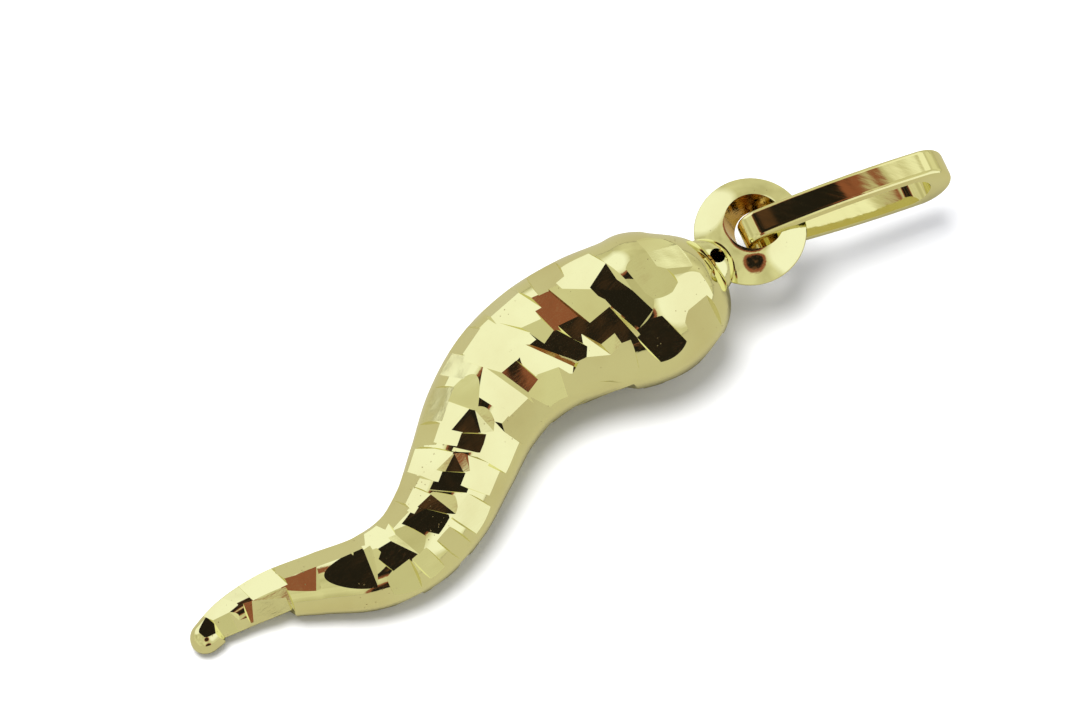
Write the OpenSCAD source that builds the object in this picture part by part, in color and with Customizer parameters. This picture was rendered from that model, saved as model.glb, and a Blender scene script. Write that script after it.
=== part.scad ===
// Horn pendant: a hollow, diamond-cut, twisted gold horn with a soldered loop, and a loose bail.
// The horn is drawn in its own flat plane, tip at x = 0, and is then laid down as it rests.

/* [Horn] */
// Length of the horn body from its tip to the end of its dome
horn_length = 21.05; // [20.9:0.05:21.2]
// Length of the dome that closes the thick end
dome_length = 3.05; // [2.9:0.05:3.2]
// Radius of the horn at the root of the dome
shoulder_radius = 2.52; // [2.4:0.02:2.6]
// Radius of the rounded tip
tip_radius = 0.5; // [0.4:0.05:0.6]
// Wall of the hollow body, measured from the round form
wall = 0.4; // [0.35:0.05:0.5]

/* [Diamond cuts] */

/* [Loop] */
// Outer radius of the soldered loop
loop_radius = 1.81; // [1.75:0.01:1.85]
// Height of the loop's crest over its middle plane
loop_rise = 0.42; // [0.36:0.02:0.44]
// How far the upper face falls from the crest to the rim
loop_fall = 0.54; // [0.4:0.02:0.56]
// How deep the loop's flat underside lies under its middle plane
loop_depth = 0.3; // [0.26:0.02:0.32]
// Radius of the hole through the loop
hole_radius = 0.98; // [0.96:0.01:1.02]
// Turn of the loop about the length of the horn
loop_roll = 8; // [6:1:10]
// Diameter of the small vent hole at the neck
vent_diameter = 0.5; // [0.3:0.05:0.6]

/* [Bail] */
// Width of the bail's flat band
band_width = 0.94; // [0.9:0.02:1.1]
// Thickness of the two legs
leg_thickness = 0.29; // [0.24:0.01:0.3]
// How much thicker the band is round the wide end
end_thickening = 0.46; // [0.2:0.02:0.5]
// Width of the chamfers along the outside of the band
band_chamfer = 0.13; // [0.05:0.01:0.16]
// Depth of the chamfers
chamfer_depth = 0.1; // [0.04:0.01:0.12]
// Radius of the narrow end, at the middle of the band's thickness
narrow_end = 0.5; // [0.46:0.01:0.52]
// Radius of the wide end, at the middle of the band's thickness
wide_end = 0.86; // [0.8:0.01:0.9]
// Distance between the middles of the two ends
bail_reach = 5.5; // [5.4:0.05:5.6]

/* [Hidden] */
gold = [0.83, 0.78, 0.45];

// Rings along the horn and sides round it, and the same for the inner wall, which is not seen
rings = 60;
sides = 32;
inner_rings = 26;
inner_sides = 14;
// How much the rings crowd towards the ends: 0 is the most, 0.5 is none
end_crowding = 0.12;

// One row every row_step along the horn, from the tip: how far its middle lies to the side, and its radius
row_step = 1.5;
HORN = [
    [-0.12, 0.48],
    [0.05, 0.62],
    [-0.19, 0.78],
    [-0.88, 1.01],
    [-1.60, 1.25],
    [-1.79, 1.42],
    [-1.34, 1.58],
    [-0.45, 1.73],
    [0.48, 1.89],
    [1.03, 2.05],
    [1.13, 2.19],
    [0.85, 2.33],
    [0.30, 2.48],
    [0.04, 2.60],
    [0.10, 2.60],
    [0.10, 2.60]
];

// The flat cuts on the front, one row for each cut.
// Columns: where it starts and ends along the horn, its turn round the horn, how many degrees of the
// round form it takes to each side, its tilt towards the loop, and the slant of its two ends.
CUTS = [
    [0.4, 0.95, 2, 30, 10, 0],
    [0.95, 1.8, -22, 35, 0, 15],
    [1.7, 2.35, -27, 31, 4, 15],
    [2.3, 3.45, -22, 40, 0, 15],
    [0.95, 2.2, 34, 20, -14, 0],
    [2.1, 3.5, 46, 24, 0, 0],
    [1.1, 3.35, 67, 12, 0, 0],
    [3.3, 6, -36, 28, 0, 0],
    [3.4, 4.5, 14, 18, 5, 0],
    [4.4, 6.1, 14, 26, 11, 0],
    [5.8, 6.5, 8, 22, -6, 25],
    [6, 7.1, -24, 22, 0, 0],
    [6.3, 7.35, 16, 21, 0, 20],
    [6.2, 7.1, 56, 24, 8, 0],
    [7.1, 7.75, 12, 22, -10, 20],
    [7.1, 7.7, 54, 22, 0, 10],
    [7.1, 8.1, -40, 22, 0, 0],
    [7.8, 8.5, 9, 23, 0, 20],
    [7.9, 8.5, 60, 24, 0, 10],
    [8.1, 8.85, -18, 16, 0, 0],
    [8.2, 9.3, -48, 20, 0, 0],
    [8.55, 9.1, 14, 20, -11, 20],
    [8.6, 9.5, 54, 22, 0, 10],
    [9.15, 9.75, 12, 20, 0, 20],
    [9.3, 10.2, -14, 16, 0, 0],
    [9.4, 10.2, -36, 18, 0, 0],
    [9.5, 10.35, 38, 22, 0, 10],
    [9.8, 10.35, 14, 16, -15, 20],
    [10.35, 10.9, 14, 14, 0, 20],
    [10.3, 10.95, -42, 20, 0, 0],
    [10.4, 11.6, -15, 17, 0, 0],
    [10.3, 11.5, 48, 20, 0, 10],
    [11, 11.8, 14, 16, -12, 20],
    [11, 12, -38, 18, 0, 0],
    [11.5, 12.5, -10, 14, -5, 0],
    [11.5, 12.8, 58, 18, 0, 10],
    [11.9, 12.8, 24, 25, 10, 0],
    [12.2, 12.95, -36, 18, 0, 0],
    [12.8, 13.5, 30, 20, -9, 0],
    [12.75, 14.35, -11, 27, 0, 15],
    [12.8, 13.8, -50, 18, 0, 0],
    [13.1, 14.5, 56, 18, 0, 10],
    [13.45, 14.4, 26, 16, 14, 25],
    [14, 15.3, -18, 22, 0, 10],
    [14, 15.2, -52, 18, 0, 0],
    [14.5, 15.6, 30, 17, 0, 30],
    [14.6, 15.5, 10, 14, -8, 20],
    [14.9, 17, 60, 15, 5, 0],
    [15.15, 16.5, 0, 17, -4, 15],
    [15.5, 16.2, 36, 14, 14, 30],
    [15.4, 16.4, -38, 20, 0, 0],
    [15.9, 17.6, 32, 16, 0, 30],
    [16, 17.5, -20, 20, 5, 20],
    [16.9, 17.85, -3, 17, 4, 25],
    [16.2, 17.25, 8, 18, -9, 30],
    [16.5, 17.6, 58, 14, 4, 0],
    [17.4, 18.6, 18, 18, -7, 25],
    [17.7, 18.8, 54, 19, 0, 20],
    [18.2, 19.3, 4, 20, 0, 10],
    [18.7, 20.2, 32, 16, 0, 0],
    [18.8, 20, 60, 20, 0, 0],
    [19, 20.1, -10, 24, 0, 0]
];
// Half width and height of the body that a cut takes away, and how steep its two ends are
cutter_half_width = 1.4;
cutter_height = 1.0;
end_slope = 2.5;

// How the pendant lies: the loop end is raised, and the middle of its box stands over the origin
rest_pitch = -7.5;
rest_place = [-14.5, -0.06, 0.45];

// Places in the plane of the horn, and the hole's place from the middle of the loop
loop_middle = [22.58, 0.2];
loop_crest = 0.7;
rim_round = 0.15;
hole_offset = [0.24, 0.1];
// How far the foot of the hole lies to the side of its upper rim, and how much smaller it is
hole_lean = [-0.05, -0.25];
hole_taper = 0.33;
vent_place = [21.07, -0.13];
vent_lean = 55;
solder_place = [20.6, 0.06, 0];
solder_size = [1.0, 1.0, 0.85];

// The bail runs through the loop: where its narrow end is centred, its turn to the side and its droop
bail_place = [22.82, -0.04, 0.05];
bail_turn = -14;
bail_droop = 11.5;
// Slope of the legs where they leave the narrow end and where they reach the wide end
leg_start = 10;
leg_end = -2;
// Steps round each end and along each leg
end_steps = 20;
leg_steps = 10;

// Value of one column of HORN at a distance x from the tip, on a smooth curve through the rows
function row(k, column) = HORN[max(0, min(len(HORN) - 1, k))][column];
function smooth(x, column) =
    let(k = floor(x / row_step), f = x / row_step - k,
        a = row(k - 1, column), b = row(k, column), c = row(k + 1, column), d = row(k + 2, column))
    b + 0.5 * f * (c - a + f * (2 * a - 5 * b + 4 * c - d + f * (3 * b - a - 3 * c + d)));

// The middle line, its direction, and the radius of the round form before it is cut
dome_start = horn_length - dome_length;
function middle(x) = [x, smooth(x, 0), 0];
function along(x) = let(d = middle(x + 0.05) - middle(x - 0.05)) d / norm(d);
function dome(x) = sqrt(max(0, 1 - pow(max(0, x - dome_start) / dome_length, 2)));
function tip(x) = sqrt(max(0, 1 - pow(max(0, 1 - x / tip_radius), 2)));
function round_radius(x) = min(smooth(x, 1), shoulder_radius) * dome(x) * tip(x);
function taper(x) = (round_radius(x + 0.05) - round_radius(x - 0.05)) / 0.1;

// Direction away from the middle line at a turn round the horn, 0 being the middle of the front
function outward(x, turn) = let(t = along(x)) [sin(turn) * t[1], -sin(turn) * t[0], cos(turn)];

// Places a cutter so that its flat underside is the cut face
module place_cutter(x, turn, reach, tilt, slant) {
    t = along(x);
    out = outward(x, turn);
    steep = out + (tan(tilt) - taper(x)) * t;
    up = steep / norm(steep);
    side = cross(up, t) / norm(cross(up, t));
    front = cross(side, up);
    point = middle(x) + round_radius(x) * cos(reach) * out;
    multmatrix([
        [front[0], side[0], up[0], point[0]],
        [front[1], side[1], up[1], point[1]],
        [front[2], side[2], up[2], point[2]],
        [0, 0, 0, 1]
    ]) rotate([0, 0, slant]) children();
}

// A cutter is as long as its cut and grows a little longer upwards
module cutter_body(half) {
    lean = cutter_height / end_slope;
    rotate([90, 0, 0]) linear_extrude(2 * cutter_half_width, center = true)
        polygon([[-half, 0], [half, 0], [half + lean, cutter_height], [-half - lean, cutter_height]]);
}

// Every cut on the front, and its mirror image on the hidden back. The cuts near the middle of the
// front have plain flats opposite, in one line, which the pendant lies on.
module cuts() {
    for (cut = CUTS) {
        x = (cut[0] + cut[1]) / 2;
        stretch = norm(middle(x + 0.05) - middle(x - 0.05)) / 0.1;
        half = (cut[1] - cut[0]) / 2 * stretch * cos(cut[5]);
        place_cutter(x, cut[2], cut[3], cut[4], cut[5]) cutter_body(half);
        if (abs(cut[2]) > 25) place_cutter(x, 180 - cut[2], cut[3], cut[4], -cut[5]) cutter_body(half);
    }
    for (x = [1.5 : 1.1 : 19.1]) place_cutter(x, 180, 16, 0, 0) cutter_body(0.52);
}

// Closed skin through rings of equal size, with both ends closed to a point
function ring_faces(m, n) = [for (i = [0:m - 2], j = [0:n - 1]) let(k = (j + 1) % n)
    each [[i * n + j, (i + 1) * n + j, i * n + k], [i * n + k, (i + 1) * n + j, (i + 1) * n + k]]];
function end_faces(m, n) = [for (j = [0:n - 1]) let(k = (j + 1) % n)
    each [[m * n, j, k], [m * n + 1, (m - 1) * n + k, (m - 1) * n + j]]];

// Rings stand closer together towards both ends
function crowd(f) = cos(180 * (end_crowding + (1 - 2 * end_crowding) * f));
function place_of(i, m, first, last) =
    first + (last - first) * (crowd(0) - crowd(i / (m - 1))) / (crowd(0) - crowd(1));

module horn_skin() {
    first = 0.04;
    last = horn_length - 0.04;
    xs = [for (i = [0:rings - 1]) place_of(i, rings, first, last)];
    points = [for (x = xs, j = [0:sides - 1]) let(turn = 360 * j / sides)
        middle(x) + round_radius(x) * outward(x, turn)];
    polyhedron(concat(points, [middle(0), middle(horn_length)]),
        concat(ring_faces(rings, sides), end_faces(rings, sides)));
}

module horn_hollow() {
    first = 2.2;
    last = horn_length - 1.2;
    xs = [for (i = [0:inner_rings - 1]) place_of(i, inner_rings, first, last)];
    points = [for (x = xs, j = [0:inner_sides - 1]) let(turn = 360 * j / inner_sides)
        middle(x) + max(0.15, round_radius(x) - wall) * outward(x, turn)];
    polyhedron(concat(points, [middle(first - 0.1), middle(last + 0.2)]),
        concat(ring_faces(inner_rings, inner_sides), end_faces(inner_rings, inner_sides)));
}

// Height of the loop's upper face at a distance from its middle: it falls towards the rim
function loop_top(r) = loop_rise - loop_fall * pow(max(0, r - loop_crest) / (loop_radius - loop_crest), 1.6);

// Half of the loop's section, with the edge of the rim rounded below
module loop_section() {
    polygon([
        [0, -loop_depth],
        for (a = [-90:30:0]) [loop_radius - rim_round + rim_round * cos(a), rim_round - loop_depth + rim_round * sin(a)],
        [loop_radius, loop_top(loop_radius) - 0.03],
        for (r = [loop_radius - 0.03:-0.1:loop_crest]) [r, loop_top(r)],
        [0, loop_rise]
    ]);
}

module place_loop() {
    translate([loop_middle[0], loop_middle[1], 0]) rotate([loop_roll, 0, 0]) children();
}

module loop_disc() {
    place_loop() rotate_extrude($fn = 72) loop_section();
}

// The hole narrows downwards and leans, so its far wall faces up
module loop_hole() {
    lean = hole_lean / (loop_rise + loop_depth);
    place_loop() translate([hole_offset[0], hole_offset[1], loop_rise])
        multmatrix([[1, 0, -lean[0], 0], [0, 1, -lean[1], 0], [0, 0, 1, 0], [0, 0, 0, 1]])
        translate([0, 0, -1]) cylinder(r1 = hole_radius - hole_taper, r2 = hole_radius + 0.4 * hole_taper, h = 1.4, $fn = 64);
}

// A round vent is drilled into the corner between the horn and the loop
module vent() {
    translate([vent_place[0], vent_place[1], 0.66]) rotate([0, vent_lean, 0]) translate([0, 0, -2.3])
        cylinder(d = vent_diameter, h = 2.9, $fn = 32);
}

// A bead of solder closes the corner between the horn and the loop
module solder() {
    translate(solder_place) scale(solder_size) sphere(r = 1, $fn = 28);
}

module horn() {
    color(gold) rest_pose() difference() {
        union() {
            difference() {
                resize([horn_length, 0, 0]) difference() {
                    horn_skin();
                    cuts();
                }
                horn_hollow();
            }
            loop_disc();
            solder();
        }
        loop_hole();
        vent();
    }
}

// A closed line round the bail, seen from its side: two end arcs joined by two slightly bowed legs
function way(angle) = [cos(angle), sin(angle)];
function end_arc(x, r, from, to) = [for (i = [0:end_steps]) [x, 0] + r * way(from + (to - from) * i / end_steps)];
function leg_line(p, q, p_way, q_way) = let(d = norm(q - p)) [for (i = [1:leg_steps - 1]) let(f = i / leg_steps)
    (2 * f^3 - 3 * f^2 + 1) * p + (f^3 - 2 * f^2 + f) * d * p_way
    + (3 * f^2 - 2 * f^3) * q + (f^3 - f^2) * d * q_way];
function bail_line(narrow, wide, reach) = let(
    a = end_arc(0, narrow, 90 + leg_start, 270 - leg_start),
    b = end_arc(reach, wide, leg_end - 90, 90 - leg_end))
    concat(a, leg_line(a[end_steps], b[0], way(-leg_start), way(-leg_end)),
        b, leg_line(b[end_steps], a[0], way(180 + leg_end), way(180 + leg_start)));

// The band: a section of six points carried round the bail, with the chamfers on its outer side
module bail_band() {
    half = leg_thickness / 2;
    outer = bail_line(narrow_end + half, wide_end + half, bail_reach);
    edge = bail_line(narrow_end + half - chamfer_depth, wide_end + half - chamfer_depth, bail_reach);
    inner = bail_line(narrow_end - half, wide_end - half, bail_reach - end_thickening);
    flat = band_width / 2 - band_chamfer;
    side = band_width / 2;
    m = len(outer);
    points = [for (k = [0:m - 1])
        each [[inner[k][0], -side, inner[k][1]], [edge[k][0], -side, edge[k][1]],
            [outer[k][0], -flat, outer[k][1]], [outer[k][0], flat, outer[k][1]],
            [edge[k][0], side, edge[k][1]], [inner[k][0], side, inner[k][1]]]];
    faces = [for (k = [0:m - 1], j = [0:5]) let(a = k * 6 + j, b = k * 6 + (j + 1) % 6, step = k == m - 1 ? 6 - m * 6 : 6)
        each [[a, a + step, b], [b, a + step, b + step]]];
    polyhedron(points, faces);
}

module bail() {
    color(gold) rest_pose() translate(bail_place) rotate([0, 0, bail_turn]) rotate([0, bail_droop, 0]) bail_band();
}

module rest_pose() {
    translate(rest_place) rotate([0, rest_pitch, 0]) children();
}

horn();
bail();
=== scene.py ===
# %% [markdown]
# # A gold horn pendant, worked out with numpy
# This lesson makes the looks of a small gold pendant: a hollow horn with flat bright cuts,
# a ring soldered to its top, and a loose bail for a chain. The CAD model fixes where
# everything is, so the first step loads it. All lengths in
# Blender are metres, and the tables below are in millimetres as a goldsmith would write them.

# %% Load the CAD frame
import math

import bpy
import numpy as np
from mathutils import Matrix


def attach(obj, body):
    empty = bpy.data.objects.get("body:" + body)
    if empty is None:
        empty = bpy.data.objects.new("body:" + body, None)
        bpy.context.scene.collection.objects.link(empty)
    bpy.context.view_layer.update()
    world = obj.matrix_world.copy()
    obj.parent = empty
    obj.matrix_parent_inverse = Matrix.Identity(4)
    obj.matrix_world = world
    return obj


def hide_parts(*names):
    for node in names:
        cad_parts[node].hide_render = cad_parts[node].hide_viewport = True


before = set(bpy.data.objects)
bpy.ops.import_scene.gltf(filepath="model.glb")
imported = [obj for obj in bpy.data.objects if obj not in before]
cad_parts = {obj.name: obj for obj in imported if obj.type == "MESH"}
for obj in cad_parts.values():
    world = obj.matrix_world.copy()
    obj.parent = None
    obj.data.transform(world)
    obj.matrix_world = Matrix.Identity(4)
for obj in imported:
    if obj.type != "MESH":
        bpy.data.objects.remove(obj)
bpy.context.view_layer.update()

mm = 0.001

# %% [markdown]
# ## The camera
# The photograph looks down on the pendant from its left front. A long lens far away keeps
# the horn's proportions, as a product photographer would. The three directions of the
# camera are worked out from two angles, so they can also be used for the lights.

# %% Camera directions
camera_height = math.radians(61)
camera_turn = math.radians(36.72)
flat_depth = np.array([math.sin(camera_turn), math.cos(camera_turn), 0])
to_right = np.array([math.cos(camera_turn), -math.sin(camera_turn), 0])
to_top = math.sin(camera_height) * flat_depth + np.array([0, 0, math.cos(camera_height)])
to_camera = np.cross(to_right, to_top)
print("direction towards the camera:", to_camera.round(3))

# %% Place the camera
picture_middle = np.array([0.217, 1.110, 1.661]) * mm
picture_width = 34.56 * mm
camera_distance = 0.8
film_width = 36
camera_data = bpy.data.cameras.new("product_camera")
camera_data.sensor_width = film_width
camera_data.lens = film_width * camera_distance / picture_width
camera_data.clip_start = 0.01
camera = bpy.data.objects.new("product_camera", camera_data)
bpy.context.scene.collection.objects.link(camera)
place = np.eye(4)
place[:3, 0], place[:3, 1], place[:3, 2] = to_right, to_top, to_camera
place[:3, 3] = picture_middle + camera_distance * to_camera
camera.matrix_world = Matrix(place.tolist())
bpy.context.scene.camera = camera
print("lens in mm:", round(camera_data.lens, 1))

# %% [markdown]
# ## The round form of the horn
# The real horn starts as a hollow casting with a smooth round skin that winds to one side
# and grows from a blunt tip to a full shoulder. It could be modelled from a curve with a
# bevel, but the cuts need exact places on it, so it is worked out as a function: a middle
# line and a radius, both smooth curves through one row of numbers every 1.5 mm.

# %% Rows of the horn: how far its middle lies to the side, and its radius, in mm
row_step = 1.5
HORN = np.array([
    [-0.12, 0.48],
    [0.05, 0.62],
    [-0.19, 0.78],
    [-0.88, 1.01],
    [-1.60, 1.25],
    [-1.79, 1.42],
    [-1.34, 1.58],
    [-0.45, 1.73],
    [0.48, 1.89],
    [1.03, 2.05],
    [1.13, 2.19],
    [0.85, 2.33],
    [0.30, 2.48],
    [0.04, 2.60],
    [0.10, 2.60],
    [0.10, 2.60],
])
horn_length = 21.05
dome_length = 3.05
shoulder_radius = 2.52
tip_radius = 0.5
shoulder_blend = 0.03
small_step = 0.05
print("rows of the horn:", len(HORN))


# %% Smooth curves through the rows
def smooth(x, column):
    """A cubic through four neighbouring rows a, b, c, d that passes b and c with the slopes
    (c - a) / 2 and (d - b) / 2."""
    k = np.floor(x / row_step).astype(int)
    f = x / row_step - k
    a, b, c, d = (HORN[np.clip(k + n, 0, len(HORN) - 1), column] for n in (-1, 0, 1, 2))
    return b + 0.5 * f * (c - a + f * (2 * a - 5 * b + 4 * c - d + f * (3 * b - a - 3 * c + d)))


def middle(x):
    """The point of the middle line at a distance x from the tip."""
    x = np.asarray(x, float)
    return np.stack([x, smooth(x, 0), 0 * x], axis=-1)


def along(x):
    """The unit direction of the middle line, from a small difference."""
    step = middle(np.asarray(x) + small_step) - middle(np.asarray(x) - small_step)
    return step / np.linalg.norm(step, axis=-1, keepdims=True)


def outward(x, turn):
    """The direction away from the middle line: sin(turn) sideways and cos(turn) up."""
    t = along(x)
    turn = np.radians(turn)
    return np.stack([np.sin(turn) * t[..., 1], -np.sin(turn) * t[..., 0],
                     np.cos(turn) + 0 * t[..., 0]], axis=-1)


# %% Radius of the round form
def lesser(a, b, blend):
    """The lesser of a and b, with the corner between them rounded over the width blend."""
    h = np.clip(0.5 + 0.5 * (b - a) / blend, 0, 1)
    return b + (a - b) * h - blend * h * (1 - h)


def round_radius(x):
    """The row radius, limited at the shoulder, times an elliptic dome at the top and an
    elliptic cap at the tip."""
    x = np.asarray(x, float)
    up_the_dome = np.maximum(0, x - (horn_length - dome_length)) / dome_length
    dome = np.sqrt(np.maximum(0, 1 - up_the_dome ** 2))
    down_the_cap = np.maximum(0, 1 - x / tip_radius)
    cap = np.sqrt(np.maximum(0, 1 - down_the_cap ** 2))
    return lesser(smooth(x, 1), shoulder_radius, shoulder_blend) * dome * cap


print("radius at 5, 10 and 15 mm:", round_radius(np.array([5, 10, 15])).round(2))


# %% Meshes from whole arrays
def new_mesh(name, points, faces):
    """A mesh from points in mm and a list or array of faces."""
    mesh = bpy.data.meshes.new(name)
    mesh.from_pydata((np.asarray(points) * mm).tolist(), [], [list(face) for face in faces])
    mesh.update()
    return mesh


def grid_faces(m, n, closed):
    """Four-sided faces between m rings of n points. A closed grid also joins its last ring
    to its first."""
    i, j = np.meshgrid(np.arange(m if closed else m - 1), np.arange(n), indexing="ij")
    a, b = i * n + j, i * n + (j + 1) % n
    c, d = ((i + 1) % m) * n + (j + 1) % n, ((i + 1) % m) * n + j
    return np.stack([a, d, c, b], axis=-1).reshape(-1, 4)


def end_fans(m, n):
    """Three-sided faces that close the first and last ring to the points m * n, m * n + 1."""
    j = np.arange(n)
    k = (j + 1) % n
    first = np.stack([0 * j + m * n, j, k], axis=-1)
    last = np.stack([0 * j + m * n + 1, (m - 1) * n + k, (m - 1) * n + j], axis=-1)
    return np.concatenate([first, last])


# %% The skin of the horn
crowded_share, even_share = 0.35, 0.65
end_gap = 0.004


def horn_skin(rings, sides):
    """Point (i, j) is middle(x) + round_radius(x) * outward(x, turn). The x of the rings is
    even, mixed with a cosine that crowds them towards both ends, and the turn goes once
    round."""
    crowded = 0.5 - 0.5 * np.cos(np.pi * np.linspace(0.012, 0.988, rings))
    x = horn_length * (crowded_share * crowded + even_share * np.linspace(0, 1, rings))
    x = end_gap + (horn_length - 2 * end_gap) * (x - x[0]) / (x[-1] - x[0])
    x, turn = np.meshgrid(x, 360 * np.arange(sides) / sides, indexing="ij")
    points = middle(x) + round_radius(x)[..., None] * outward(x, turn)
    points = np.concatenate([points.reshape(-1, 3), middle(np.array([0, horn_length]))])
    faces = grid_faces(rings, sides, False).tolist() + end_fans(rings, sides).tolist()
    return new_mesh("horn_skin", points, faces)


skin = horn_skin(420, 144)
print("points in the skin:", len(skin.vertices))

# %% [markdown]
# ## Flat bright cuts
# A diamond tool takes many flats off the front of the horn, one beside the next, and these
# flats make the sparkle. Most follow the form; some lean to one end, which leaves a sharp
# edge beside them. Flats could be modelled by hand face by face, but the real ones are true
# planes, so here each one is a block that is set into the round form and taken away from it.
# A chart gives the place of every flat and how much of the round form it takes.
#
# Nobody can see the back in the photograph. The flats that lie well to the side are taken
# again on the back as in a mirror, and a plain row of flats runs along its middle, on which
# the pendant rests without rocking.

# %% Chart of cuts: start and end along the horn, turn, reach to each side, tilt, slant of the ends
CUTS = [
    [0.4, 0.95, 2, 30, 10, 0],
    [0.95, 1.8, -22, 35, 0, 15],
    [1.7, 2.35, -27, 31, 4, 15],
    [2.3, 3.45, -22, 40, 0, 15],
    [0.95, 2.2, 34, 20, -14, 0],
    [2.1, 3.5, 46, 24, 0, 0],
    [1.1, 3.35, 67, 12, 0, 0],
    [3.3, 6, -36, 28, 0, 0],
    [3.4, 4.5, 14, 18, 5, 0],
    [4.4, 6.1, 14, 26, 11, 0],
    [5.8, 6.5, 8, 22, -6, 25],
    [6, 7.1, -24, 22, 0, 0],
    [6.3, 7.35, 16, 21, 0, 20],
    [6.2, 7.1, 56, 24, 8, 0],
    [7.1, 7.75, 12, 22, -10, 20],
    [7.1, 7.7, 54, 22, 0, 10],
    [7.1, 8.1, -40, 22, 0, 0],
    [7.8, 8.5, 9, 23, 0, 20],
    [7.9, 8.5, 60, 24, 0, 10],
    [8.1, 8.85, -18, 16, 0, 0],
    [8.2, 9.3, -48, 20, 0, 0],
    [8.55, 9.1, 14, 20, -11, 20],
    [8.6, 9.5, 54, 22, 0, 10],
    [9.15, 9.75, 12, 20, 0, 20],
    [9.3, 10.2, -14, 16, 0, 0],
    [9.4, 10.2, -36, 18, 0, 0],
    [9.5, 10.35, 38, 22, 0, 10],
    [9.8, 10.35, 14, 16, -15, 20],
    [10.35, 10.9, 14, 14, 0, 20],
    [10.3, 10.95, -42, 20, 0, 0],
    [10.4, 11.6, -15, 17, 0, 0],
    [10.3, 11.5, 48, 20, 0, 10],
    [11, 11.8, 14, 16, -12, 20],
    [11, 12, -38, 18, 0, 0],
    [11.5, 12.5, -10, 14, -5, 0],
    [11.5, 12.8, 58, 18, 0, 10],
    [11.9, 12.8, 24, 25, 10, 0],
    [12.2, 12.95, -36, 18, 0, 0],
    [12.8, 13.5, 30, 20, -9, 0],
    [12.75, 14.35, -11, 27, 0, 15],
    [12.8, 13.8, -50, 18, 0, 0],
    [13.1, 14.5, 56, 18, 0, 10],
    [13.45, 14.4, 26, 16, 14, 25],
    [14, 15.3, -18, 22, 0, 10],
    [14, 15.2, -52, 18, 0, 0],
    [14.5, 15.6, 30, 17, 0, 30],
    [14.6, 15.5, 10, 14, -8, 20],
    [14.9, 17, 60, 15, 5, 0],
    [15.15, 16.5, 0, 17, -4, 15],
    [15.5, 16.2, 36, 14, 14, 30],
    [15.4, 16.4, -38, 20, 0, 0],
    [15.9, 17.6, 32, 16, 0, 30],
    [16, 17.5, -20, 20, 5, 20],
    [16.9, 17.85, -3, 17, 4, 25],
    [16.2, 17.25, 8, 18, -9, 30],
    [16.5, 17.6, 58, 14, 4, 0],
    [17.4, 18.6, 18, 18, -7, 25],
    [17.7, 18.8, 54, 19, 0, 20],
    [18.2, 19.3, 4, 20, 0, 10],
    [18.7, 20.2, 32, 16, 0, 0],
    [18.8, 20, 60, 20, 0, 0],
    [19, 20.1, -10, 24, 0, 0],
]
cutter_half_width, cutter_height, end_slope = 1.4, 1.0, 2.5
print("cuts on the front:", len(CUTS))


# %% One cutter block
def cutter(start, stop, turn, reach, tilt, slant):
    """A block whose flat underside is the cut. Its middle lies round_radius * cos(reach) from
    the middle line, its normal is the form's own normal leaning by tilt to the loop, and its
    two ends are turned by slant and open upwards."""
    x = (start + stop) / 2
    t, out = along(x), outward(x, turn)
    taper = (round_radius(x + small_step) - round_radius(x - small_step)) / (2 * small_step)
    up = out + (math.tan(math.radians(tilt)) - taper) * t
    up /= np.linalg.norm(up)
    side = np.cross(up, t)
    side /= np.linalg.norm(side)
    front = np.cross(side, up)
    turned_by = math.radians(slant)
    front, side = (math.cos(turned_by) * front + math.sin(turned_by) * side,
                   math.cos(turned_by) * side - math.sin(turned_by) * front)
    stretch = np.linalg.norm(middle(x + small_step) - middle(x - small_step)) / (2 * small_step)
    half = (stop - start) / 2 * stretch * math.cos(turned_by)
    wider = half + cutter_height / end_slope
    point = middle(x) + round_radius(x) * math.cos(math.radians(reach)) * out
    profile = [[-half, 0], [half, 0], [wider, cutter_height], [-wider, cutter_height]]
    corners = [point + a * front + b * up + s * cutter_half_width * side
               for s in (-1, 1) for a, b in profile]
    sides = [[k, k + 4, (k + 1) % 4 + 4, (k + 1) % 4] for k in range(4)]
    faces = [[0, 1, 2, 3], [7, 6, 5, 4]] + sides
    return new_mesh("cutter", corners, faces)


# %% Adding and taking away solids
def combine(base, tool, how):
    """The solid that is left when tool is added to base (UNION) or taken away from it
    (DIFFERENCE). Both are used up."""
    base_object = bpy.data.objects.new("base", base)
    tool_object = bpy.data.objects.new("tool", tool)
    for thing in (base_object, tool_object):
        bpy.context.scene.collection.objects.link(thing)
    step = base_object.modifiers.new("step", "BOOLEAN")
    step.operation = how
    step.solver = "MANIFOLD"
    step.object = tool_object
    seen = base_object.evaluated_get(bpy.context.evaluated_depsgraph_get())
    result = bpy.data.meshes.new_from_object(seen)
    bpy.data.objects.remove(base_object)
    bpy.data.objects.remove(tool_object)
    bpy.data.meshes.remove(base)
    bpy.data.meshes.remove(tool)
    return result


# %% Take all cuts away from the skin, on the front and on the back
mirrored_beyond = 25
belly_flats, belly_pitch, belly_reach = 17, 1.1, 16
all_cuts = []
for start, stop, turn, reach, tilt, slant in CUTS:
    all_cuts.append([start, stop, turn, reach, tilt, slant])
    if abs(turn) > mirrored_beyond:
        all_cuts.append([start, stop, 180 - turn, reach, tilt, -slant])
for k in range(belly_flats):
    all_cuts.append([1 + belly_pitch * k, 2 + belly_pitch * k, 180, belly_reach, 0, 0])
blocks = cutter(*all_cuts[0])
for cut in all_cuts[1:]:
    blocks = combine(blocks, cutter(*cut), "UNION")
print("faces of all cutters together:", len(blocks.polygons))
horn = combine(skin, blocks, "DIFFERENCE")
print("faces of the cut horn:", len(horn.polygons))

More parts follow.
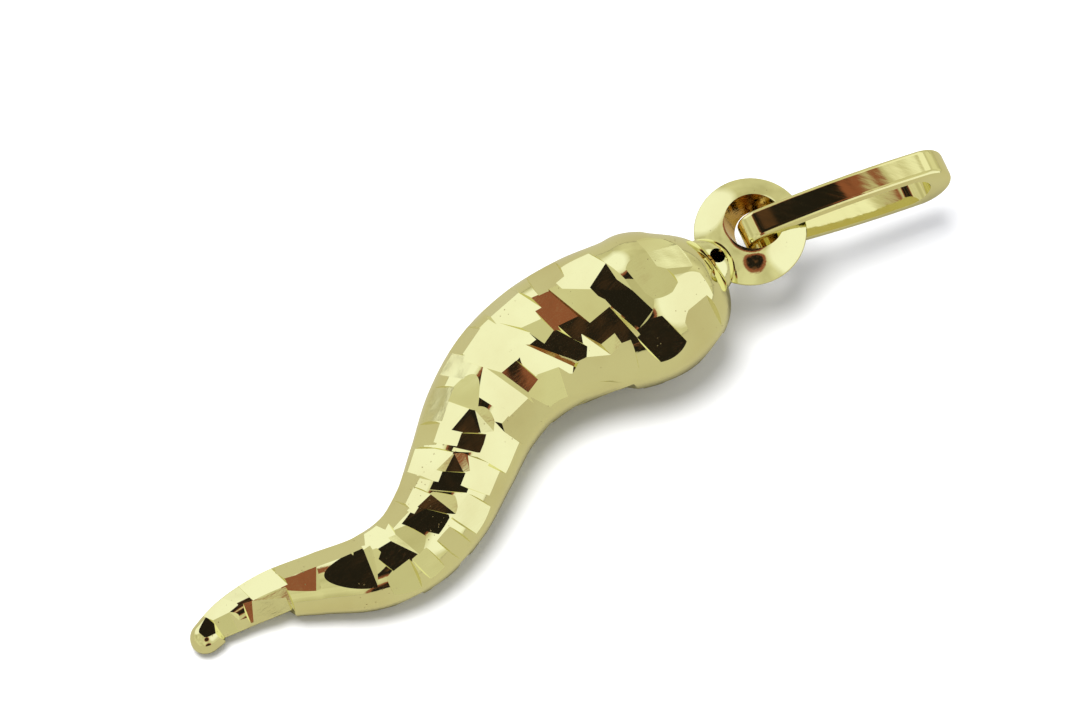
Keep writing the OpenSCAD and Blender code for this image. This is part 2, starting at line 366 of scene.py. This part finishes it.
# %% [markdown]
# ## The ring at the top
# A thick ring is soldered edge on to the dome with a bead of solder, and the bail runs
# through its hole. Its upper face slopes down to a rounded rim, and its hole lies a little
# off the middle, leans and widens upwards. A section carried round a circle gives the disc,
# a leaning cone takes the hole out of it, and a flattened ball stands for the solder.
#
# Beside the ring a small round vent runs down into the hollow horn. Without it the air in
# the hollow would burst the solder when the metal is heated. It is a plain cylinder.

# %% Ring and hole
loop_radius, loop_crest, rim_round = 1.81, 0.7, 0.15
loop_rise, loop_fall, loop_depth = 0.42, 0.54, 0.3
fall_power = 1.6
disc_inside = 0.3
hole_radius = 0.98
loop_middle = np.array([22.58, 0.2, 0])
hole_offset = np.array([0.24, 0.1, 0])
hole_lean, hole_taper = np.array([-0.05, -0.25]), 0.33
loop_roll = math.radians(8)
vent_place = np.array([21.07, -0.13, 0.66])
vent_lean = math.radians(55)
vent_diameter = 0.5
vent_bottom, vent_top = -2.3, 0.6


def tipped(points, angle):
    """Points turned about the y axis, which carries +z towards +x."""
    c, s = math.cos(angle), math.sin(angle)
    return points @ np.array([[c, 0, -s], [0, 1, 0], [s, 0, c]])


def turned(profile, sides):
    """A profile of (radius, height) turned once round the z axis and closed at both ends."""
    profile = np.array(profile)
    turn = 2 * np.pi * np.arange(sides) / sides
    points = np.stack([profile[:, :1] * np.cos(turn), profile[:, :1] * np.sin(turn),
                       profile[:, 1:] + 0 * turn], axis=-1).reshape(-1, 3)
    m = len(profile)
    ends = np.array([[0, 0, profile[0, 1]], [0, 0, profile[-1, 1]]])
    faces = grid_faces(m, sides, False)[:, ::-1].tolist() + end_fans(m, sides)[:, ::-1].tolist()
    return np.concatenate([points, ends]), faces


def rolled(points):
    """Points of the ring's own flat frame, rolled about the horn's length and moved to its middle."""
    c, s = math.cos(loop_roll), math.sin(loop_roll)
    return points @ np.array([[1, 0, 0], [0, c, s], [0, -s, c]]) + loop_middle


def loop_top(r):
    """The height of the upper face: the rise less the fall times a power of the distance
    from the crest."""
    past_crest = np.maximum(0, (r - loop_crest) / (loop_radius - loop_crest))
    return loop_rise - loop_fall * past_crest ** fall_power


# %% Disc, hole, vent and solder
corner = np.radians(np.linspace(-90, 0, 12))
low = np.stack([loop_radius - rim_round + rim_round * np.cos(corner),
                rim_round - loop_depth + rim_round * np.sin(corner)], axis=-1)
r = np.linspace(loop_radius - 0.02, disc_inside, 70)
high = np.stack([r, loop_top(r)], axis=-1)
edge = np.array([[loop_radius, loop_top(loop_radius) - 0.03],
                 [loop_radius - 0.007, loop_top(loop_radius) - 0.01]])
rim = np.concatenate([[[disc_inside, -loop_depth]], low, edge, high])
points, faces = turned(rim, 192)
disc = new_mesh("disc", rolled(points), faces)
points, faces = turned([[hole_radius - hole_taper, -1], [hole_radius + 0.4 * hole_taper, 0.4]], 128)
shift = points[:, 2:] * np.append(-hole_lean / (loop_rise + loop_depth), 0)
hole = new_mesh("hole", rolled(points + shift + hole_offset + [0, 0, loop_rise]), faces)
points, faces = turned([[vent_diameter / 2, vent_bottom], [vent_diameter / 2, vent_top]], 64)
vent = new_mesh("vent", tipped(points, vent_lean) + vent_place, faces)
solder_place, solder_size = np.array([20.6, 0.06, 0]), np.array([1.0, 1.0, 0.85])
lift = np.radians(np.linspace(-88, 88, 45))
points, faces = turned(np.stack([np.cos(lift), np.sin(lift)], axis=-1), 96)
solder = new_mesh("solder", points * solder_size + solder_place, faces)
print("faces of the disc, hole, vent and solder:",
      [len(mesh.polygons) for mesh in (disc, hole, vent, solder)])

# %% Solder the ring on, then drill it and the vent
horn = combine(horn, disc, "UNION")
horn = combine(horn, solder, "UNION")
horn = combine(horn, hole, "DIFFERENCE")
horn = combine(horn, vent, "DIFFERENCE")
print("faces of the horn with its ring:", len(horn.polygons))

# %% [markdown]
# ## Laying the pendant down
# The pendant is worked out along its own axis and then laid on the table: its loop end is
# raised by 7.5 degrees, because the shoulder is thicker than the tip. The points themselves
# are moved, so that every object stays at the origin. Before that, while the places along
# the horn are still plain numbers, the faces on the walls of the two holes are noted, since
# they get a darker, redder gold of their own: painted shade for the deep holes.

# %% Rest pose
rest_pitch = math.radians(-7.5)
rest_place = np.array([-14.5, -0.06, 0.45])


def lay_down(points):
    """Points in mm, turned about y by the pitch and moved to their place on the table."""
    return tipped(points, rest_pitch) + rest_place


def mesh_points(mesh):
    """All points of a mesh as one array, in mm."""
    flat = np.empty(3 * len(mesh.vertices), np.float32)
    mesh.vertices.foreach_get("co", flat)
    return flat.reshape(-1, 3).astype(float) / mm


def finish_piece(name, mesh, sharp_angle):
    """Puts a mesh into the scene as a piece of the pendant, smooth but for its sharp edges."""
    mesh.shade_smooth()
    mesh.set_sharp_from_angle(angle=math.radians(sharp_angle))
    piece = bpy.data.objects.new(name, mesh)
    bpy.context.scene.collection.objects.link(piece)
    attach(piece, "root")
    return piece


print("the loop end is raised by", round(-math.degrees(rest_pitch), 1), "degrees")

# %% Faces on the walls of the ring's hole and of the vent
ring_wall_radius = 1.05
vent_wall_radius = vent_diameter / 2 + 0.01
vent_axis = np.array([math.sin(vent_lean), 0, math.cos(vent_lean)])
centres = np.empty(3 * len(horn.polygons), np.float32)
horn.polygons.foreach_get("center", centres)
normals = np.empty(3 * len(horn.polygons), np.float32)
horn.polygons.foreach_get("normal", normals)
centres, normals = centres.reshape(-1, 3) / mm, normals.reshape(-1, 3)
from_ring = centres - loop_middle - hole_offset
from_vent = centres - vent_place
in_ring = np.linalg.norm(from_ring[:, :2], axis=1) < ring_wall_radius
in_ring &= np.sum(from_ring[:, :2] * normals[:, :2], axis=1) < -0.3
along_vent = from_vent @ vent_axis
from_axis = np.linalg.norm(from_vent - along_vent[:, None] * vent_axis, axis=1)
in_vent = (from_axis < vent_wall_radius) & (np.abs(normals @ vent_axis) < 0.2)
wall_faces = in_ring | in_vent
print("faces of the hole walls:", wall_faces.sum())

# %% Lay the horn down
horn.vertices.foreach_set("co", (lay_down(mesh_points(horn)) * mm).astype(np.float32).ravel())
horn.update()
horn_piece = finish_piece("cut_horn", horn, 5)
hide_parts("horn")
print("horn:", len(horn.polygons), "faces")

# %% [markdown]
# ## The bail
# The bail is a flat band bent to a long narrow loop, with a small bevel on its outer edges.
# It hangs loose in the ring. A section is carried along a closed line of two end arcs and
# two slightly bowed legs, so the band keeps its width all the way round.

# %% Line of the bail
band_width, leg_thickness = 0.94, 0.29
end_thickening, band_chamfer, chamfer_depth = 0.46, 0.13, 0.1
narrow_end, wide_end, bail_reach = 0.5, 0.86, 5.5
leg_start, leg_end = 10, -2


def arc(x, radius, start, stop, steps):
    """Points on a circle about (x, 0)."""
    turn = np.radians(np.linspace(start, stop, steps))
    return np.stack([x + radius * np.cos(turn), radius * np.sin(turn)], axis=-1)


def leg(p, q, p_angle, q_angle, steps):
    """A cubic from p to q that leaves p and reaches q in the given directions."""
    f = np.linspace(0, 1, steps + 2)[1:-1, None]
    d = np.linalg.norm(q - p)
    ways = np.radians([p_angle, q_angle])
    way_p, way_q = np.stack([np.cos(ways), np.sin(ways)], axis=-1)
    return ((2 * f**3 - 3 * f**2 + 1) * p + (f**3 - 2 * f**2 + f) * d * way_p
            + (3 * f**2 - 2 * f**3) * q + (f**3 - f**2) * d * way_q)


def bail_line(narrow, wide, reach, steps=64, leg_steps=60):
    """A closed line: an arc at the narrow end, a leg, an arc at the wide end, a leg back."""
    a = arc(0, narrow, 90 + leg_start, 270 - leg_start, steps)
    b = arc(reach, wide, leg_end - 90, 90 - leg_end, steps)
    return np.concatenate([a, leg(a[-1], b[0], -leg_start, -leg_end, leg_steps), b,
                           leg(b[-1], a[0], 180 + leg_end, 180 + leg_start, leg_steps)])


# %% The band
def line_outside(distance):
    """The bail's line moved outwards by a distance."""
    return bail_line(narrow_end + distance, wide_end + distance, bail_reach)


def bail_mesh():
    """Lines round the bail carry the section: two inner edges and two rounded outer corners,
    whose depth is 1 - sin(a) and whose width is cos(a) for a between 0 and 90 degrees."""
    half = leg_thickness / 2
    side, flat = band_width / 2, band_width / 2 - band_chamfer
    inner = bail_line(narrow_end - half, wide_end - half, bail_reach - end_thickening)
    corner = []
    for a in np.radians([0, 30, 60, 90]):
        line = line_outside(half - chamfer_depth * (1 - math.sin(a)))
        corner.append((line, flat + band_chamfer * math.cos(a)))
    corner.append((line_outside(half), flat - 0.02))
    section = [(inner, -side)] + [(line, -y) for line, y in corner] + corner[::-1] + [(inner, side)]
    lines = [np.stack([line[:, 0], 0 * line[:, 0] + y, line[:, 1]], axis=-1) for line, y in section]
    points = np.stack(lines, axis=1)
    m, n = points.shape[:2]
    return points.reshape(-1, 3), grid_faces(m, n, True)[:, ::-1]


# %% Hang the bail in the ring
bail_place = np.array([22.82, -0.04, 0.05])
bail_turn = math.radians(-14)
bail_droop = math.radians(11.5)
points, faces = bail_mesh()
points = tipped(points, bail_droop)
c, s = math.cos(bail_turn), math.sin(bail_turn)
points = points @ np.array([[c, s, 0], [-s, c, 0], [0, 0, 1]]) + bail_place
bail = new_mesh("bail_band", lay_down(points), faces)
bail_piece = finish_piece("bail_band", bail, 20)
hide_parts("bail")
print("bail:", len(bail.polygons), "faces")

# %% [markdown]
# ## Gold
# The metal is a pale, slightly greenish gold. The cuts and the bail carry a high polish, yet
# no real flat is a perfect mirror: the tool leaves a faint ripple, the polishing cloth leaves
# hair lines, and specks of polish stay behind. A picture of gold would fix the reflections in
# place, so the finish is made from noise at four sizes in one node group, which each material
# uses with its own values.

# %% Helpers for node trees
def add(tree, kind, **values):
    """A node with its plain properties set."""
    node = tree.nodes.new(kind)
    for name, value in values.items():
        setattr(node, name, value)
    return node


def feed(tree, socket, value):
    """Joins a socket to an output, or sets it to a number, a colour or a vector."""
    if hasattr(value, "is_output"):
        tree.links.new(value, socket)
    else:
        socket.default_value = value


def math_node(tree, how, first, second):
    """The result of one sum on two numbers."""
    node = add(tree, "ShaderNodeMath", operation=how)
    feed(tree, node.inputs[0], first)
    feed(tree, node.inputs[1], second)
    return node.outputs[0]


def noise(tree, place, scale, detail):
    """Soft noise between 0 and 1 at a scale in features per metre."""
    node = add(tree, "ShaderNodeTexNoise")
    feed(tree, node.inputs["Vector"], place)
    feed(tree, node.inputs["Scale"], scale)
    feed(tree, node.inputs["Detail"], detail)
    return node.outputs["Fac"]


def remap(tree, value, low, high, new_low, new_high):
    """A number carried from one range to another and held inside it."""
    node = add(tree, "ShaderNodeMapRange")
    for name, part in zip(("Value", "From Min", "From Max", "To Min", "To Max"),
                          (value, low, high, new_low, new_high)):
        feed(tree, node.inputs[name], part)
    return node.outputs["Result"]


def blend(tree, share, first, second):
    """A mix of two colours."""
    node = add(tree, "ShaderNodeMix", data_type="RGBA")
    feed(tree, node.inputs["Factor"], share)
    feed(tree, node.inputs["A"], first)
    feed(tree, node.inputs["B"], second)
    return node.outputs["Result"]


# %% Node group: polished metal
polish = bpy.data.node_groups.new("polished_metal", "ShaderNodeTree")
for name, kind in (("Place", "NodeSocketVector"), ("Clean Color", "NodeSocketColor"),
                   ("Stained Color", "NodeSocketColor"), ("Ripple", "NodeSocketFloat"),
                   ("Hair Lines", "NodeSocketFloat"), ("Specks", "NodeSocketFloat")):
    polish.interface.new_socket(name=name, in_out="INPUT", socket_type=kind)
for name, kind in (("Base Color", "NodeSocketColor"), ("Roughness", "NodeSocketFloat"),
                   ("Height", "NodeSocketFloat")):
    polish.interface.new_socket(name=name, in_out="OUTPUT", socket_type=kind)
given = add(polish, "NodeGroupInput").outputs
result = add(polish, "NodeGroupOutput").inputs
stain = remap(polish, noise(polish, given["Place"], 420, 4), 0.42, 0.72, 0, 1)
ripple = noise(polish, given["Place"], 1100, 1)
lines_place = add(polish, "ShaderNodeMapping")
lines_place.inputs["Scale"].default_value = (1, 14, 14)
lines_place.inputs["Rotation"].default_value = (0, 0, 0.5)
feed(polish, lines_place.inputs["Vector"], given["Place"])
lines = noise(polish, lines_place.outputs["Vector"], 1500, 3)
dots = add(polish, "ShaderNodeTexVoronoi")
feed(polish, dots.inputs["Vector"], given["Place"])
feed(polish, dots.inputs["Scale"], 5200)
speck_size = remap(polish, noise(polish, given["Place"], 700, 2), 0.5, 0.75, 0.02, 0.22)
speck = math_node(polish, "LESS_THAN", dots.outputs["Distance"], speck_size)
speck = math_node(polish, "MULTIPLY", speck, given["Specks"])
colour = blend(polish, stain, given["Clean Color"], given["Stained Color"])
colour = blend(polish, math_node(polish, "MULTIPLY", speck, 0.6), colour, (0.36, 0.27, 0.12, 1))
feed(polish, result["Base Color"], colour)
rough = remap(polish, lines, 0.35, 0.75, 0.03, 0.1)
rough = math_node(polish, "ADD", rough, math_node(polish, "MULTIPLY", speck, 0.3))
feed(polish, result["Roughness"], rough)
height = math_node(polish, "MULTIPLY", ripple, given["Ripple"])
height = math_node(polish, "ADD", height, math_node(polish, "MULTIPLY", lines, given["Hair Lines"]))
feed(polish, result["Height"], height)
print("nodes in the group:", len(polish.nodes))


# %% Gold materials
def gold_material(name, stretch, turn, clean, stained, ripple, hair_lines, specks):
    """A Principled metal whose colour, roughness and bump come from the group. The place is
    the object's own, stretched and turned so that the ripple may run one way."""
    material = bpy.data.materials.new(name)
    material.use_nodes = True
    tree = material.node_tree
    shader = tree.nodes["Principled BSDF"]
    shader.inputs["Metallic"].default_value = 1
    place = add(tree, "ShaderNodeMapping")
    place.inputs["Rotation"].default_value = (0, 0, turn)
    place.inputs["Scale"].default_value = stretch
    feed(tree, place.inputs["Vector"], add(tree, "ShaderNodeTexCoord").outputs["Object"])
    finish = add(tree, "ShaderNodeGroup", node_tree=polish)
    for socket, value in (("Place", place.outputs["Vector"]), ("Clean Color", (*clean, 1)),
                          ("Stained Color", (*stained, 1)), ("Ripple", ripple),
                          ("Hair Lines", hair_lines), ("Specks", specks)):
        feed(tree, finish.inputs[socket], value)
    bump = add(tree, "ShaderNodeBump")
    bump.inputs["Distance"].default_value = 0.01 * mm
    feed(tree, bump.inputs["Height"], finish.outputs["Height"])
    feed(tree, shader.inputs["Base Color"], finish.outputs["Base Color"])
    feed(tree, shader.inputs["Roughness"], finish.outputs["Roughness"])
    feed(tree, shader.inputs["Normal"], bump.outputs["Normal"])
    return material


# %% One material for each finish, and one with painted shade for the hole walls
# Painted shade: the hole walls get a darker, redder gold than the cuts; its stains vary at random
shaded_hole_gold = gold_material("shaded_hole_gold", stretch=(1, 1, 1), turn=0, clean=(0.74, 0.52, 0.2),
                          stained=(0.5, 0.3, 0.1), ripple=2.0, hair_lines=0.3, specks=1)
cut_gold = gold_material("cut_gold", stretch=(1, 1, 1), turn=0, clean=(0.86, 0.85, 0.47),
                         stained=(0.8, 0.76, 0.4), ripple=1.0, hair_lines=0.06, specks=1)
rolled_gold = gold_material("rolled_gold", stretch=(1, 0.2, 1), turn=0.24, clean=(0.86, 0.84, 0.45),
                            stained=(0.8, 0.74, 0.36), ripple=1.6, hair_lines=0.1, specks=0.5)
for piece, material in ((horn_piece, cut_gold), (bail_piece, rolled_gold)):
    piece.data.materials.clear()
    piece.data.materials.append(material)

# The walls of the ring's hole and of the vent are painted darker and redder: painted shade and bounced
# gold light in the deep holes
horn_piece.data.materials.append(shaded_hole_gold)
horn_piece.data.polygons.foreach_set("material_index", wall_faces.astype(np.int32))
print("materials of the horn:", [material.name for material in horn_piece.data.materials])

# %% [markdown]
# ## The table
# The photographer laid the pendant on white paper. A plain white sheet would also shine up
# into every flat that looks down, while those flats should mirror a warm, darker ground: the
# paper in shade under the pendant. So the paper is white to the eye and a warm grey to
# mirrors, painted shade: one colour for plain light and another for reflected rays.

# %% Table
table_mesh = bpy.data.meshes.new("table")
half = 1.5
table_corners = [[-half, -half, 0], [half, -half, 0], [half, half, 0], [-half, half, 0]]
table_mesh.from_pydata(table_corners, [], [[0, 1, 2, 3]])
table = bpy.data.objects.new("table", table_mesh)
bpy.context.scene.collection.objects.link(table)
paper = bpy.data.materials.new("white_paper")
paper.use_nodes = True
paper_tree = paper.node_tree
shader = paper_tree.nodes["Principled BSDF"]
shader.inputs["Roughness"].default_value = 1
shader.inputs["Specular IOR Level"].default_value = 0
# Painted shade: to mirrors the paper is a warm grey that stands in for the shaded paper under the pendant
paper_to_eye, paper_shade_in_mirrors = (0.95, 0.95, 0.95, 1), (0.41, 0.38, 0.28, 1)
mirrored = add(paper_tree, "ShaderNodeLightPath").outputs["Is Glossy Ray"]
feed(paper_tree, shader.inputs["Base Color"], blend(paper_tree, mirrored, paper_to_eye, paper_shade_in_mirrors))
table_mesh.materials.append(paper)
print("side of the table in metres:", 2 * half)

# %% [markdown]
# ## The tent and the lamp
# Polished gold shows what stands round it more than its own colour. Small jewellery is
# photographed in a tent of white cloth, and the flats mirror its bright cloth, its soft
# folds and the dark openings for the lens and the hands. A picture could be hung round the
# scene instead, but the tent is worked out from directions: a soft noise for the folds, round
# bright patches where lamps stand behind the cloth, and round dark openings with a brown rim
# through which a dim room is seen. Only mirrors see all this. Plain surfaces get an even
# white light, and one round lamp over the tent gives the pendant its soft shadow.

# %% Tent
world = bpy.data.worlds.new("tent")
bpy.context.scene.world = world
world.use_nodes = True
sky_tree = world.node_tree
sky_way = add(sky_tree, "ShaderNodeTexCoord").outputs["Generated"]


def way_at(right, depth):
    """The direction that lies the given angles to the right and to the back of straight up."""
    away = math.radians(math.hypot(right, depth))
    level = (right * to_right + depth * flat_depth) / math.hypot(right, depth)
    return math.sin(away) * level + np.array([0, 0, math.cos(away)])


def patch(colour, right, depth, radius, soft, inside):
    """A round patch of the tent in another colour, where the cosine between the sky
    direction and its middle is above that of its radius."""
    dot = add(sky_tree, "ShaderNodeVectorMath", operation="DOT_PRODUCT")
    dot.inputs[1].default_value = tuple(way_at(right, depth))
    feed(sky_tree, dot.inputs[0], sky_way)
    share = remap(sky_tree, dot.outputs["Value"], math.cos(math.radians(radius + soft)),
                  math.cos(math.radians(radius - soft)), 0, 1)
    return blend(sky_tree, share, colour, inside)


# %% Cloth, lit patches, openings and the room seen through them
lit_patches = [(-50, 42, 27), (54, -10, 34)]
openings = [(0, -3, 15), (5, -41, 12), (-9, 16, 16), (25, -82, 12)]
edge_soft, rim_width = 0.7, 4
folds = remap(sky_tree, noise(sky_tree, sky_way, 2.4, 2), 0.35, 0.65, 0, 1)
sky = blend(sky_tree, folds, (0.56, 0.53, 0.37, 1), (0.78, 0.76, 0.58, 1))
for right, depth, radius in lit_patches:
    sky = patch(sky, right, depth, radius, 4, (1.04, 1.05, 1.06, 1))
sky = patch(sky, 16, 42, 13, 1.5, (1.0, 1.0, 0.9, 1))
for right, depth, radius in openings:
    sky = patch(sky, right, depth, radius + rim_width, edge_soft, (0.30, 0.10, 0.06, 1))
shapes_in_room = remap(sky_tree, noise(sky_tree, sky_way, 11, 3), 0.52, 0.7, 0, 1)
room = blend(sky_tree, shapes_in_room, (0.016, 0.013, 0.011, 1), (0.12, 0.055, 0.03, 1))
for right, depth, radius in openings:
    sky = patch(sky, right, depth, radius, edge_soft, room)
mirrored = add(sky_tree, "ShaderNodeLightPath").outputs["Is Glossy Ray"]
sky = blend(sky_tree, mirrored, (0.5, 0.51, 0.55, 1), sky)
feed(sky_tree, sky_tree.nodes["Background"].inputs["Color"], sky)
print("nodes in the tent:", len(sky_tree.nodes))

# %% Lamp
lamp_distance = 0.5
lamp_data = bpy.data.lights.new("window", "AREA")
lamp_data.shape = "DISK"
lamp_data.size = 0.3
lamp_data.energy = 2.9
lamp = bpy.data.objects.new("window", lamp_data)
bpy.context.scene.collection.objects.link(lamp)
lamp_way = np.array([-0.16, 0.1, 1])
lamp_way /= np.linalg.norm(lamp_way)
side = np.cross([0, 0, 1], lamp_way)
side /= np.linalg.norm(side)
place = np.eye(4)
place[:3, 0], place[:3, 1], place[:3, 2] = side, np.cross(lamp_way, side), lamp_way
place[:3, 3] = lamp_distance * lamp_way
lamp.matrix_world = Matrix(place.tolist())
lamp.visible_glossy = False
bpy.context.scene.view_settings.view_transform = "Standard"
print("lamp in watts:", round(lamp_data.energy, 2))
